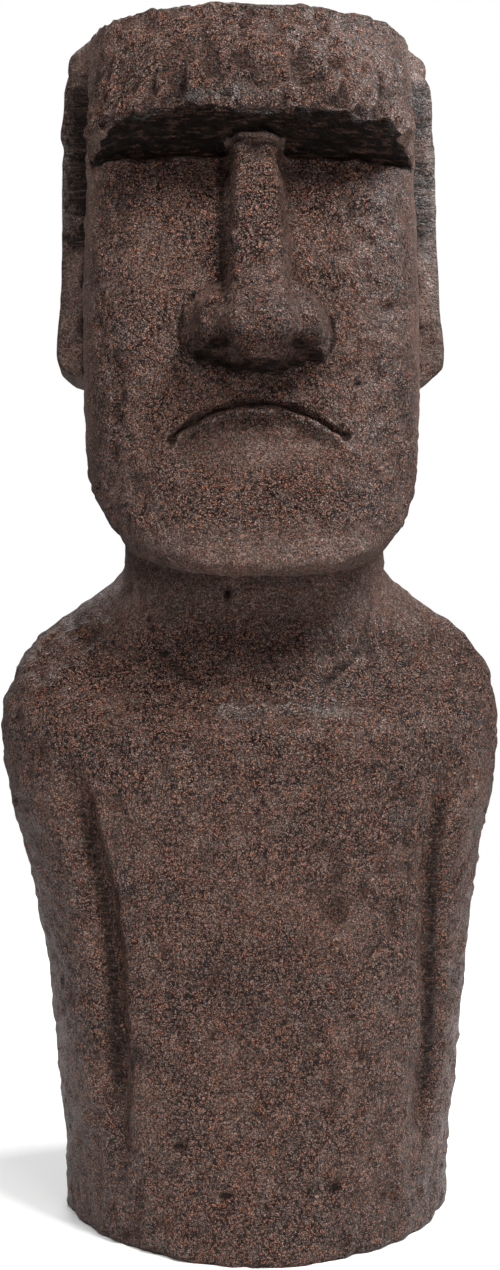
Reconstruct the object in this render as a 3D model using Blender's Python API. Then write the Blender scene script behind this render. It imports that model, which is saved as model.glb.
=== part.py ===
"""A cast moai figure: head, neck and torso down to the hips, one solid that stands on its flat underside.

Run it with: blender --background --python part.py
Metres, +Z up. The figure faces -Y, and the origin is the centre of its underside.
The form is a loft of closed outlines, one above the other, that are carved by functions of place.
Below, "reach" is the distance in front of the origin (-Y), and x is the distance from the middle plane.
"""

import bmesh
import bpy
import numpy as np

# Heights of the figure's sections, from the foot up
BODY_HEIGHT = 0.328
NECK_HEIGHT = 0.128
CHIN_HEIGHT = 0.072
UPPER_LIP_HEIGHT = 0.032
NOSE_HEIGHT = 0.142
UNDERBROW_HEIGHT = 0.017
FOREHEAD_HEIGHT = 0.080

# Widths and depths
BASE_WIDTH = 0.263
BASE_DEPTH = 0.266
SHOULDER_WIDTH = 0.342
NECK_WIDTH = 0.179
JAW_WIDTH = 0.231
CROWN_WIDTH = 0.223

# How far the front stands before the origin
CHEST_REACH = 0.103
NECK_REACH = 0.061
CHIN_REACH = 0.112
MOUTH_REACH = 0.081
EYE_REACH = 0.060
BROW_REACH = 0.101
CROWN_REACH = 0.075

# How far the back stands behind the origin
SHOULDER_BACK = 0.108
NECK_BACK = 0.074
HEAD_BACK = 0.090

# The middle of the crown stands this far to the figure's own right of the origin
LEAN = 0.0055

# Edges of the foot and the crown
FOOT_EDGE_RADIUS = 0.002
CROWN_EDGE_RADIUS = 0.005
CROWN_RISE = 0.002

# The slopes of the collar and of the jaw's underside, which both fall towards the front
COLLAR_SLOPE = 0.87
JAW_SLOPE = 0.345

# The carving of the face fades out over the last of its reach
FACE_FADE = 0.035

# Nose
BRIDGE_WIDTH = 0.036
BRIDGE_REACH = 0.025
NOSTRILS_WIDTH = 0.099
NOSE_REACH = 0.049
WING_REACH = 0.029
NOSTRIL_WIDTH = 0.026
NOSTRIL_HEIGHT = 0.016
NOSTRIL_DEPTH = 0.010

# Mouth
MOUTH_WIDTH = 0.110
MOUTH_RISE = 0.0205
LIP_HEIGHT = 0.0075
LIP_REACH = 0.0022
CREASE_WIDTH = 0.0050
CREASE_DEPTH = 0.0045
MUZZLE_REACH = 0.0070

# Ears
EAR_SPAN = 0.269
EAR_TOP_SPAN = 0.256
EAR_HEIGHT = 0.2335
EAR_DROP = 0.0030
EAR_DEPTH = 0.050
EAR_CENTRE_REACH = -0.014
EAR_EDGE = 0.005
EAR_GROOVE_DEPTH = 0.006

# Arms
ARM_GROOVE_DEPTH = 0.0070
ARM_GROOVE_WIDTH = 0.017
ARM_SWELL = 0.0045

# Back
SPINE_DEPTH = 0.006
SPINE_WIDTH = 0.050

# Places are numbers along the height: whole ones are the landmarks, and the rest lie between them
SECTIONS = (
    BODY_HEIGHT,
    NECK_HEIGHT,
    CHIN_HEIGHT,
    UPPER_LIP_HEIGHT,
    NOSE_HEIGHT,
    UNDERBROW_HEIGHT,
    FOREHEAD_HEIGHT,
)
FOOT, SHOULDER, JAW, MOUTH, NOSE_FOOT, EYE, BROW, CROWN = range(8)
LANDMARK_HEIGHTS = np.concatenate([[0.0], np.cumsum(SECTIONS)])

# Half the width at each place, without the ears
HALF_WIDTHS = (
    (FOOT, 0.500 * BASE_WIDTH),
    (FOOT + 0.20, 0.502 * BASE_WIDTH),
    (FOOT + 0.46, 0.528 * BASE_WIDTH),
    (FOOT + 0.71, 0.449 * SHOULDER_WIDTH),
    (FOOT + 0.88, 0.489 * SHOULDER_WIDTH),
    (SHOULDER, 0.500 * SHOULDER_WIDTH),
    (SHOULDER + 0.11, 0.498 * SHOULDER_WIDTH),
    (SHOULDER + 0.22, 0.486 * SHOULDER_WIDTH),
    (SHOULDER + 0.33, 0.472 * SHOULDER_WIDTH),
    (SHOULDER + 0.44, 0.442 * SHOULDER_WIDTH),
    (SHOULDER + 0.65, 0.341 * SHOULDER_WIDTH),
    (SHOULDER + 0.76, 0.544 * NECK_WIDTH),
    (SHOULDER + 0.86, 0.501 * NECK_WIDTH),
    (JAW - 0.02, 0.500 * NECK_WIDTH),
    (JAW + 0.14, 0.418 * JAW_WIDTH),
    (JAW + 0.33, 0.459 * JAW_WIDTH),
    (JAW + 0.52, 0.481 * JAW_WIDTH),
    (MOUTH, 0.496 * JAW_WIDTH),
    (NOSE_FOOT, 0.501 * JAW_WIDTH),
    (NOSE_FOOT + 0.60, 0.500 * JAW_WIDTH),
    (EYE, 0.508 * CROWN_WIDTH),
    (BROW, 0.506 * CROWN_WIDTH),
    (CROWN, 0.496 * CROWN_WIDTH),
)

# The front of the figure on its middle line, without the nose and mouth
FRONTS = (
    (FOOT, 0.500 * BASE_DEPTH),
    (FOOT + 0.12, 0.482 * BASE_DEPTH),
    (FOOT + 0.24, 0.470 * BASE_DEPTH),
    (FOOT + 0.70, 1.055 * CHEST_REACH),
    (SHOULDER, CHEST_REACH),
    (SHOULDER + 0.35, 0.915 * CHEST_REACH),
    (SHOULDER + 0.50, 0.845 * CHEST_REACH),
    (SHOULDER + 0.70, 1.215 * NECK_REACH),
    (SHOULDER + 0.80, 1.115 * NECK_REACH),
    (SHOULDER + 0.90, 1.030 * NECK_REACH),
    (JAW - 0.02, NECK_REACH),
    (JAW + 0.02, 0.860 * CHIN_REACH),
    (JAW + 0.08, 0.950 * CHIN_REACH),
    (JAW + 0.20, CHIN_REACH),
    (JAW + 0.36, 0.965 * CHIN_REACH),
    (JAW + 0.60, 0.860 * CHIN_REACH),
    (JAW + 0.82, 1.070 * MOUTH_REACH),
    (MOUTH + 0.10, 1.015 * MOUTH_REACH),
    (NOSE_FOOT, MOUTH_REACH),
    (NOSE_FOOT + 0.30, 0.970 * MOUTH_REACH),
    (EYE - 0.04, 1.010 * EYE_REACH),
    (EYE + 0.06, 1.030 * EYE_REACH),
    (BROW - 0.10, 0.970 * BROW_REACH),
    (BROW + 0.02, 0.990 * BROW_REACH),
    (BROW + 0.05, BROW_REACH),
    (BROW + 0.45, 0.915 * BROW_REACH),
    (CROWN, CROWN_REACH),
)

BACKS = (
    (FOOT, 0.500 * BASE_DEPTH),
    (FOOT + 0.40, 0.470 * BASE_DEPTH),
    (FOOT + 0.75, 1.050 * SHOULDER_BACK),
    (SHOULDER, SHOULDER_BACK),
    (SHOULDER + 0.55, 1.130 * NECK_BACK),
    (SHOULDER + 0.93, NECK_BACK),
    (JAW + 0.85, 0.960 * HEAD_BACK),
    (NOSE_FOOT + 0.25, HEAD_BACK),
    (EYE, 0.975 * HEAD_BACK),
    (BROW, 0.965 * HEAD_BACK),
    (CROWN, 0.850 * HEAD_BACK),
)

# How square the outline is: 2 is an ellipse, and more is squarer
FRONT_SQUARENESS = (
    (FOOT, 1.85),
    (FOOT + 0.10, 2.0),
    (FOOT + 0.50, 2.3),
    (SHOULDER, 2.3),
    (SHOULDER + 0.90, 2.4),
    (JAW + 0.10, 2.25),
    (MOUTH, 2.8),
    (EYE, 2.9),
    (BROW, 2.75),
    (CROWN, 2.0),
)
BACK_SQUARENESS = (
    (FOOT, 1.9),
    (FOOT + 0.15, 2.2),
    (FOOT + 0.70, 2.5),
    (SHOULDER, 2.6),
    (JAW, 2.2),
    (NOSE_FOOT, 2.7),
    (BROW, 2.6),
    (CROWN, 2.3),
)

# The slope of each outline in front of the origin, and behind it
FRONT_SLOPES = (
    (FOOT, 0.0),
    (FOOT + 0.70, 0.0),
    (SHOULDER, 0.14 * COLLAR_SLOPE),
    (SHOULDER + 0.35, 0.52 * COLLAR_SLOPE),
    (SHOULDER + 0.70, COLLAR_SLOPE),
    (JAW, JAW_SLOPE),
    (JAW + 0.25, JAW_SLOPE),
    (MOUTH, 0.0),
    (CROWN, 0.0),
)
BACK_SLOPES = (
    (FOOT, 0.0),
    (SHOULDER, 0.0),
    (SHOULDER + 0.80, 0.43 * JAW_SLOPE),
    (JAW, JAW_SLOPE),
    (JAW + 0.25, JAW_SLOPE),
    (NOSE_FOOT - 0.10, 0.0),
    (CROWN, 0.0),
)

# How far the middle of each outline stands to the figure's own right of the origin
LEANS = (
    (FOOT, 0.0),
    (FOOT + 0.50, 0.45 * LEAN),
    (SHOULDER, 0.76 * LEAN),
    (SHOULDER + 0.40, 0.18 * LEAN),
    (MOUTH, 0.64 * LEAN),
    (CROWN, LEAN),
)

# The line where each arm meets the body, as its distance from the middle of the figure
RIGHT_ARM_LINE = (
    (FOOT + 0.15, 0.263 * SHOULDER_WIDTH),
    (FOOT + 0.54, 0.278 * SHOULDER_WIDTH),
    (FOOT + 0.77, 0.313 * SHOULDER_WIDTH),
    (FOOT + 0.95, 0.351 * SHOULDER_WIDTH),
)
LEFT_ARM_LINE = (
    (FOOT + 0.15, 0.301 * SHOULDER_WIDTH),
    (FOOT + 0.40, 0.325 * SHOULDER_WIDTH),
    (FOOT + 0.70, 0.333 * SHOULDER_WIDTH),
    (FOOT + 0.90, 0.363 * SHOULDER_WIDTH),
)

# Rows of the loft: up to this place, in this many rows
ROW_BANDS = (
    (FOOT + FOOT_EDGE_RADIUS / BODY_HEIGHT, 1),
    (FOOT + 0.12, 1),
    (SHOULDER - 0.15, 5),
    (SHOULDER + 0.20, 3),
    (SHOULDER + 0.86, 6),
    (JAW - 0.02, 1),
    (JAW + 0.02, 1),
    (JAW + 0.30, 4),
    (MOUTH - 0.32, 3),
    (MOUTH + 0.42, 9),
    (NOSE_FOOT - 0.18, 1),
    (NOSE_FOOT + 0.12, 5),
    (NOSE_FOOT + 0.40, 6),
    (EYE - 0.04, 4),
    (EYE + 0.06, 1),
    (BROW - 0.10, 4),
    (BROW + 0.02, 1),
    (BROW + 0.05, 1),
    (CROWN - 0.28, 3),
    (CROWN - CROWN_EDGE_RADIUS / FOREHEAD_HEIGHT, 2),
    (CROWN, 2),
)
CROWN_RINGS = (0.80, 0.45)
FRONT_COLUMNS = 24
BACK_COLUMNS = 6
OUTLINE_SAMPLES = 361

STONE_COLOUR = (0.085, 0.058, 0.048, 1.0)
STONE_ROUGHNESS = 0.72


def clear_scene():
    for obj in list(bpy.data.objects):
        bpy.data.objects.remove(obj)


def smooth_step(start, end, value):
    t = np.clip((value - start) / (end - start), 0.0, 1.0)
    return t * t * (3.0 - 2.0 * t)


def bell(distance, half_width):
    return np.exp(-((distance / half_width) ** 2))


def window(start, end, soft, value):
    """1 between start and end, and 0 beyond them, with edges that are soft wide."""
    return smooth_step(start - soft / 2, start + soft / 2, value) * (
        1.0 - smooth_step(end - soft / 2, end + soft / 2, value)
    )


def mound(x, z, half_width, half_height, reach):
    """The height of a round-topped mound with an elliptical foot, at the place (x, z) from its middle."""
    return reach * (1.0 - smooth_step(0.20, 1.0, np.hypot(x / half_width, z / half_height)))


def blended(*heights):
    """The highest of several forms, with a fillet where they cross."""
    power = 3.0
    return sum(np.clip(h, 0.0, None) ** power for h in heights) ** (1.0 / power)


def curve_through(stations, at):
    """A smooth curve through (place, value) stations that never overshoots them, read at the given places."""
    place, value = np.array(stations, float).T
    gap = np.diff(place)
    rise = np.diff(value) / gap
    product = rise[:-1] * rise[1:]
    turning = product <= 0
    slope = np.zeros_like(value)
    slope[1:-1] = np.where(turning, 0.0, 2 * product / np.where(turning, 1.0, rise[:-1] + rise[1:]))
    slope[0], slope[-1] = rise[0], rise[-1]
    at = np.clip(np.asarray(at, float), place[0], place[-1])
    k = np.clip(np.searchsorted(place, at, side="right") - 1, 0, len(gap) - 1)
    t = (at - place[k]) / gap[k]
    return (
        value[k] * (1 + 2 * t) * (1 - t) ** 2
        + slope[k] * gap[k] * t * (1 - t) ** 2
        + value[k + 1] * t * t * (3 - 2 * t)
        + slope[k + 1] * gap[k] * t * t * (t - 1)
    )


def height_of(place):
    return np.interp(place, np.arange(len(LANDMARK_HEIGHTS)), LANDMARK_HEIGHTS)


def place_at(height):
    return np.interp(height, LANDMARK_HEIGHTS, np.arange(len(LANDMARK_HEIGHTS)))


def profile(stations, place):
    """A curve through (place, value) stations that is smooth over the real height."""
    return curve_through([(height_of(at), value) for at, value in stations], height_of(place))


def row_places():
    """The place of each row of the sides, crowded where the carving is."""
    places = [float(FOOT)]
    for top, rows in ROW_BANDS:
        places += list(np.linspace(places[-1], top, rows + 1)[1:])
    return np.array(places)


def edge_inset(z):
    """How far the rounded edges of the foot and the crown stand in from the sides."""
    below = np.clip(FOOT_EDGE_RADIUS - z, 0.0, FOOT_EDGE_RADIUS)
    above = np.clip(CROWN_EDGE_RADIUS - (LANDMARK_HEIGHTS[-1] - z), 0.0, CROWN_EDGE_RADIUS)
    foot = FOOT_EDGE_RADIUS - np.sqrt(FOOT_EDGE_RADIUS**2 - below**2)
    crown = CROWN_EDGE_RADIUS - np.sqrt(CROWN_EDGE_RADIUS**2 - above**2)
    return foot + crown


def crowding(x, place):
    """How much closer the columns at the front stand over the nose and mouth than beside them."""
    on_head = smooth_step(JAW - 0.1, JAW + 0.3, place)
    face = 1.0 - smooth_step(0.5 * NOSTRILS_WIDTH, 0.8 * NOSTRILS_WIDTH, x)
    on_body = 1.0 - smooth_step(SHOULDER, SHOULDER + 0.5, place)
    arm = bell(x - 0.316 * SHOULDER_WIDTH, 1.4 * ARM_GROOVE_WIDTH) * on_body
    return 1.0 + 3.0 * face * on_head + 1.2 * arm


def column_reaches():
    """The reaches of the columns on the figure's side, crowded at the ear's front and back edges."""
    front = EAR_CENTRE_REACH + EAR_DEPTH / 2
    back = EAR_CENTRE_REACH - EAR_DEPTH / 2
    beside_edge = EAR_EDGE * np.array([1.0, 0.0, -1.4])
    in_groove = EAR_CENTRE_REACH + EAR_DEPTH * np.array([0.18, -0.18])
    return np.concatenate([front + beside_edge, in_groove, back - beside_edge[::-1]])


def half_outline(place):
    """Distances from the middle plane and reaches of half an outline, from the front to the back."""
    angle = np.linspace(0.0, np.pi, OUTLINE_SAMPLES)
    inset = edge_inset(height_of(place))
    in_front = angle <= np.pi / 2
    half_width = profile(HALF_WIDTHS, place) - inset
    depth = np.where(in_front, profile(FRONTS, place), profile(BACKS, place)) - inset
    square = np.where(in_front, profile(FRONT_SQUARENESS, place), profile(BACK_SQUARENESS, place))
    x = half_width * np.abs(np.sin(angle)) ** (2 / square)
    x[-1] = 0.0
    reach = depth * np.sign(np.cos(angle)) * np.abs(np.cos(angle)) ** (2 / square)
    crowd = crowding(x, place) * (reach > 0) + (reach <= 0)
    step = np.hypot(np.diff(x), np.diff(reach)) * (crowd[1:] + crowd[:-1]) / 2
    run = np.concatenate([[0.0], np.cumsum(step)])
    side_runs = np.interp(-column_reaches(), -reach, run)
    runs = np.concatenate([
        np.linspace(0.0, side_runs[0], FRONT_COLUMNS + 1),
        side_runs[1:],
        np.linspace(side_runs[-1], run[-1], BACK_COLUMNS + 1)[1:],
    ])
    return np.interp(runs, run, x), np.interp(runs, run, reach)


def nose(x, z):
    """The height of the nose above the face: a ridge with a round tip, over a lower pair of wings."""
    up = (z - height_of(NOSE_FOOT)) / NOSE_HEIGHT
    ridge_reach = curve_through(
        (
            (-0.045, 0.0),
            (-0.02, 0.52 * NOSE_REACH),
            (0.02, 0.84 * NOSE_REACH),
            (0.10, NOSE_REACH),
            (0.20, 0.92 * NOSE_REACH),
            (0.45, 1.10 * BRIDGE_REACH),
            (0.75, BRIDGE_REACH),
            (1.00, 1.12 * BRIDGE_REACH),
            (1.06, 0.60 * BRIDGE_REACH),
            (1.11, 0.0),
        ),
        up,
    )
    ridge_half_width = curve_through(
        (
            (-0.045, 0.62 * BRIDGE_WIDTH),
            (0.10, 0.88 * BRIDGE_WIDTH),
            (0.25, 0.72 * BRIDGE_WIDTH),
            (0.60, 0.60 * BRIDGE_WIDTH),
            (1.05, 0.45 * BRIDGE_WIDTH),
        ),
        up,
    )
    wing_reach = curve_through(
        (
            (0.02, 0.0),
            (0.07, 0.70 * WING_REACH),
            (0.15, WING_REACH),
            (0.25, 0.75 * WING_REACH),
            (0.40, 0.0),
        ),
        up,
    )
    wing_half_width = curve_through(
        (
            (0.02, 0.46 * NOSTRILS_WIDTH),
            (0.14, 0.56 * NOSTRILS_WIDTH),
            (0.25, 0.51 * NOSTRILS_WIDTH),
            (0.40, 0.36 * NOSTRILS_WIDTH),
        ),
        up,
    )
    ridge = ridge_reach * (1.0 - smooth_step(0.12, 1.0, x / ridge_half_width))
    wing = wing_reach * (1.0 - smooth_step(0.45, 1.0, x / wing_half_width))
    from_nostril_x = x - 0.29 * NOSTRILS_WIDTH
    from_nostril_z = z - height_of(NOSE_FOOT) - 0.077 * NOSE_HEIGHT
    nostril = mound(from_nostril_x, from_nostril_z, NOSTRIL_WIDTH / 2, NOSTRIL_HEIGHT / 2, NOSTRIL_DEPTH)
    return blended(ridge, wing) - nostril


def mouth_line(x):
    """The height of the mouth's crease, an arch with its corners low."""
    return height_of(MOUTH) + MOUTH_RISE * (0.35 - (2 * x / MOUTH_WIDTH) ** 2)


def mouth(x, z):
    within = 1.0 - smooth_step(0.465 * MOUTH_WIDTH, 0.525 * MOUTH_WIDTH, x)
    below = mouth_line(x) - z
    crease = CREASE_DEPTH * bell(below, CREASE_WIDTH / 2) * within
    lip = LIP_REACH * window(0.4 * CREASE_WIDTH, LIP_HEIGHT, LIP_HEIGHT / 2, below) * within
    muzzle_height = np.where(below < 0, 1.4, 0.6) * MOUTH_RISE
    muzzle = MUZZLE_REACH * bell(x, 0.55 * MOUTH_WIDTH) * bell(below, muzzle_height)
    return muzzle + lip - crease


def ear_foot():
    return height_of(CROWN) - EAR_DROP - EAR_HEIGHT


def ear_share(reach, z):
    """1 on the ear's slab and 0 off it."""
    up = (z - ear_foot()) / EAR_HEIGHT
    half_depth = EAR_DEPTH / 2 * curve_through(((0.0, 1.0), (0.5, 0.88), (0.9, 0.78), (1.0, 0.60)), up)
    off_slab = np.maximum(np.abs(reach - EAR_CENTRE_REACH) - half_depth, 0.0)
    return bell(off_slab, EAR_EDGE / 2) * window(0.0, 1.0, 0.012, up)


def ear_half_span(z):
    up = (z - ear_foot()) / EAR_HEIGHT
    return curve_through(
        (
            (0.0, 0.450 * EAR_SPAN),
            (0.045, 0.495 * EAR_SPAN),
            (0.08, 0.500 * EAR_SPAN),
            (0.28, 0.490 * EAR_SPAN),
            (0.65, 0.508 * EAR_TOP_SPAN),
            (0.88, 0.502 * EAR_TOP_SPAN),
            (0.96, 0.487 * EAR_TOP_SPAN),
            (1.0, 0.460 * EAR_TOP_SPAN),
        ),
        up,
    )


def ear_groove(reach, z):
    up = (z - ear_foot()) / EAR_HEIGHT
    return EAR_GROOVE_DEPTH * bell(reach - EAR_CENTRE_REACH, 0.28 * EAR_DEPTH) * window(0.16, 0.92, 0.08, up)


def arm_relief(x, reach, place, line):
    """The groove between the arm and the body and the swell of the arm beside it."""
    line_x = profile(line, place)
    along = window(FOOT + 0.20, SHOULDER - 0.09, 0.16, place) * smooth_step(-FACE_FADE, FACE_FADE, reach)
    groove = ARM_GROOVE_DEPTH * bell(x - line_x, ARM_GROOVE_WIDTH / 2)
    swell = ARM_SWELL * bell(x - line_x - 1.4 * ARM_GROOVE_WIDTH, ARM_GROOVE_WIDTH)
    return (swell - groove) * along


def carved(x, reach, place, arm_line):
    """Half of the loft, carved. x is the distance from the middle plane, and so is never below 0."""
    fall = np.where(reach > 0, profile(FRONT_SLOPES, place), profile(BACK_SLOPES, place))
    z = height_of(place) - fall * reach
    in_front = smooth_step(0.0, FACE_FADE, reach)
    beside_mouth = smooth_step(0.45 * MOUTH_WIDTH, 0.80 * MOUTH_WIDTH, x)
    near_mouth = (1.0 - beside_mouth) * in_front * window(MOUTH - 0.35, NOSE_FOOT - 0.22, 0.5, place)
    shift = near_mouth * (mouth_line(x) - height_of(MOUTH))
    z = z + shift
    reach = reach * profile(FRONTS, place_at(height_of(place) + shift)) / profile(FRONTS, place)
    on_face = in_front * smooth_step(JAW + 0.15, JAW + 0.45, place)
    reach = reach + on_face * (nose(x, z) + mouth(x, z))
    on_ear = ear_share(reach, z) * smooth_step(0.22 * JAW_WIDTH, 0.30 * JAW_WIDTH, x)
    x = x + on_ear * (ear_half_span(z) - ear_groove(reach, z) - x)
    length = np.hypot(x, reach)
    relief = arm_relief(x, reach, place, arm_line)
    x, reach = x * (1 + relief / length), reach * (1 + relief / length)
    spine = bell(x, SPINE_WIDTH / 2) * window(FOOT + 0.35, SHOULDER + 0.70, 0.40, place) * (reach < 0)
    return x, reach + SPINE_DEPTH * spine, z


def loft_points():
    """The figure's surface as an array of rows by columns by (x, y, z), each row a closed ring."""
    places = row_places()
    outlines = [half_outline(place) for place in places]
    x = np.array([outline[0] for outline in outlines])
    reach = np.array([outline[1] for outline in outlines])
    place = np.repeat(places[:, None], x.shape[1], axis=1)
    lean = profile(LEANS, place)
    halves = []
    for side, arm_line in ((1, LEFT_ARM_LINE), (-1, RIGHT_ARM_LINE)):
        out_x, out_reach, z = carved(x, reach, place, arm_line)
        halves.append(np.stack([side * out_x - lean, -out_reach, z], axis=2))
    left, right = halves
    return np.concatenate([left, right[:, -2:0:-1]], axis=1)


def add_ring(mesh, points):
    return [mesh.verts.new(point) for point in points]


def bridge(mesh, lower, upper):
    for i in range(len(lower)):
        j = (i + 1) % len(lower)
        mesh.faces.new((lower[i], lower[j], upper[j], upper[i]))


def build_figure():
    rows = loft_points()
    mesh = bmesh.new()
    rings = [add_ring(mesh, row) for row in rows]
    edge = rows[-1]
    centre = edge.mean(axis=0)
    for share in CROWN_RINGS:
        ring = centre + (edge - centre) * share
        ring[:, 2] += CROWN_RISE * (1.0 - share**2)
        rings.append(add_ring(mesh, ring))
    for lower, upper in zip(rings, rings[1:]):
        bridge(mesh, lower, upper)
    peak = mesh.verts.new((centre[0], centre[1], centre[2] + CROWN_RISE))
    last = rings[-1]
    for i in range(len(last)):
        mesh.faces.new((last[i], last[(i + 1) % len(last)], peak))
    mesh.faces.new(reversed(rings[0]))
    bmesh.ops.recalc_face_normals(mesh, faces=mesh.faces[:])
    data = bpy.data.meshes.new("moai_statue")
    mesh.to_mesh(data)
    mesh.free()
    figure = bpy.data.objects.new("moai_statue", data)
    bpy.context.scene.collection.objects.link(figure)
    return figure


def cast_stone():
    material = bpy.data.materials.new("cast_stone")
    material.use_nodes = True
    shader = material.node_tree.nodes["Principled BSDF"]
    shader.inputs["Base Color"].default_value = STONE_COLOUR
    shader.inputs["Roughness"].default_value = STONE_ROUGHNESS
    shader.inputs["Metallic"].default_value = 0.0
    return material


def main():
    clear_scene()
    figure = build_figure()
    figure.data.materials.append(cast_stone())
    figure.data.shade_smooth()


main()
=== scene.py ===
"""The dressed moai figure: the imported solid's own form on a fine mesh, with the crumb, tooling, chips and
cracks of the cast surface, on a pale floor in soft studio light.

Metres, +Z up. The figure faces -Y, and the origin is the centre of its underside.
The form is a loft of closed outlines, one above the other, that are carved by functions of place.
Below, "reach" is the distance in front of the origin (-Y), and x is the distance from the middle plane.
"""

import math
from types import SimpleNamespace

import bmesh
import bpy
import numpy as np
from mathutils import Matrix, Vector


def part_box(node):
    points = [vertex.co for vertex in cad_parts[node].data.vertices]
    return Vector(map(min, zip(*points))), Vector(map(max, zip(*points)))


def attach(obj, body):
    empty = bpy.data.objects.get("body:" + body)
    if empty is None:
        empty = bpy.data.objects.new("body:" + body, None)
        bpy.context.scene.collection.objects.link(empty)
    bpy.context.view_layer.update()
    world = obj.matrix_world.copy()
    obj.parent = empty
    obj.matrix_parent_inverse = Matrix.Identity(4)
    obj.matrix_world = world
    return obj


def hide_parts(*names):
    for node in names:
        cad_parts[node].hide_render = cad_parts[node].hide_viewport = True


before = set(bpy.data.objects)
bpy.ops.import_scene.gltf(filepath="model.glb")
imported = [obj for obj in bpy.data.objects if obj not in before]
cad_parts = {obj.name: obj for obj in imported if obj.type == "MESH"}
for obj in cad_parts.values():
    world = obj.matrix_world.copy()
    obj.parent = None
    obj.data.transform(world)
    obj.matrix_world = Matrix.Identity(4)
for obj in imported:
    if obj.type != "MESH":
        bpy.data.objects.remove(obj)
CAD_LOW, CAD_HIGH = (np.array(corner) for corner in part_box("moai_statue"))
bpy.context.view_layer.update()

# Heights of the figure's sections, from the foot up
BODY_HEIGHT = 0.328
NECK_HEIGHT = 0.128
CHIN_HEIGHT = 0.072
UPPER_LIP_HEIGHT = 0.032
NOSE_HEIGHT = 0.142
UNDERBROW_HEIGHT = 0.017
FOREHEAD_HEIGHT = 0.080

# Widths and depths
BASE_WIDTH = 0.263
BASE_DEPTH = 0.266
SHOULDER_WIDTH = 0.342
NECK_WIDTH = 0.179
JAW_WIDTH = 0.231
CROWN_WIDTH = 0.223

# How far the front stands before the origin
CHEST_REACH = 0.103
NECK_REACH = 0.061
CHIN_REACH = 0.112
MOUTH_REACH = 0.081
EYE_REACH = 0.060
BROW_REACH = 0.101
CROWN_REACH = 0.075

# How far the back stands behind the origin
SHOULDER_BACK = 0.108
NECK_BACK = 0.074
HEAD_BACK = 0.090

# The middle of the crown stands this far to the figure's own right of the origin
LEAN = 0.0055

# Edges of the foot and the crown
FOOT_EDGE_RADIUS = 0.002
CROWN_EDGE_RADIUS = 0.005
CROWN_RISE = 0.002

# The slopes of the collar and of the jaw's underside, which both fall towards the front
COLLAR_SLOPE = 0.87
JAW_SLOPE = 0.345

# The carving of the face fades out over the last of its reach
FACE_FADE = 0.035

# Nose
BRIDGE_WIDTH = 0.036
BRIDGE_REACH = 0.025
NOSTRILS_WIDTH = 0.099
NOSE_REACH = 0.049
WING_REACH = 0.033
NOSTRIL_WIDTH = 0.024
NOSTRIL_HEIGHT = 0.0062
NOSTRIL_DEPTH = 0.010
NOSTRIL_RISE = 0.0112
NOSTRIL_CURVE = 42.0
NOSE_GROOVE_DEPTH = 0.0018
NOSE_TOP_Z = 0.7080

# Mouth
MOUTH_WIDTH = 0.110
MOUTH_RISE = 0.0205
LIP_HEIGHT = 0.0075
LIP_REACH = 0.0030
CREASE_WIDTH = 0.0042
CREASE_DEPTH = 0.0056
MUZZLE_REACH = 0.0070

# Ears
EAR_SPAN = 0.269
EAR_TOP_SPAN = 0.256
EAR_HEIGHT = 0.2335
EAR_DROP = 0.0030
EAR_DEPTH = 0.050
EAR_CENTRE_REACH = -0.014
EAR_EDGE = 0.0034
EAR_CREASE_DEPTH = 0.0035
EAR_CREASE_WIDTH = 0.0050
EAR_GROOVE_DEPTH = 0.006

# Arms
ARM_GROOVE_DEPTH = 0.0085
ARM_GROOVE_WIDTH = 0.013
ARM_SWELL = 0.0050

# The neck's lower boundary on the front, where the painted shadow on the neck ends, as heights over the
# distance from the middle plane
COLLAR_LINE = ((0.0, 0.345), (0.039, 0.3515), (0.064, 0.371), (0.081, 0.416), (0.092, 0.450))

# Back
SPINE_DEPTH = 0.006
SPINE_WIDTH = 0.050

# Places are numbers along the height: whole ones are the landmarks, and the rest lie between them
SECTIONS = (
    BODY_HEIGHT,
    NECK_HEIGHT,
    CHIN_HEIGHT,
    UPPER_LIP_HEIGHT,
    NOSE_HEIGHT,
    UNDERBROW_HEIGHT,
    FOREHEAD_HEIGHT,
)
FOOT, SHOULDER, JAW, MOUTH, NOSE_FOOT, EYE, BROW, CROWN = range(8)
LANDMARK_HEIGHTS = np.concatenate([[0.0], np.cumsum(SECTIONS)])

# Half the width at each place, without the ears
HALF_WIDTHS = (
    (FOOT, 0.500 * BASE_WIDTH),
    (FOOT + 0.20, 0.502 * BASE_WIDTH),
    (FOOT + 0.46, 0.528 * BASE_WIDTH),
    (FOOT + 0.71, 0.449 * SHOULDER_WIDTH),
    (FOOT + 0.88, 0.489 * SHOULDER_WIDTH),
    (SHOULDER, 0.500 * SHOULDER_WIDTH),
    (SHOULDER + 0.11, 0.498 * SHOULDER_WIDTH),
    (SHOULDER + 0.22, 0.486 * SHOULDER_WIDTH),
    (SHOULDER + 0.33, 0.472 * SHOULDER_WIDTH),
    (SHOULDER + 0.44, 0.442 * SHOULDER_WIDTH),
    (SHOULDER + 0.65, 0.341 * SHOULDER_WIDTH),
    (SHOULDER + 0.76, 0.544 * NECK_WIDTH),
    (SHOULDER + 0.86, 0.501 * NECK_WIDTH),
    (JAW - 0.02, 0.500 * NECK_WIDTH),
    (JAW + 0.14, 0.418 * JAW_WIDTH),
    (JAW + 0.33, 0.459 * JAW_WIDTH),
    (JAW + 0.52, 0.481 * JAW_WIDTH),
    (MOUTH, 0.496 * JAW_WIDTH),
    (NOSE_FOOT, 0.501 * JAW_WIDTH),
    (NOSE_FOOT + 0.60, 0.500 * JAW_WIDTH),
    (EYE, 0.508 * CROWN_WIDTH),
    (BROW, 0.506 * CROWN_WIDTH),
    (CROWN, 0.496 * CROWN_WIDTH),
)

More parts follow.
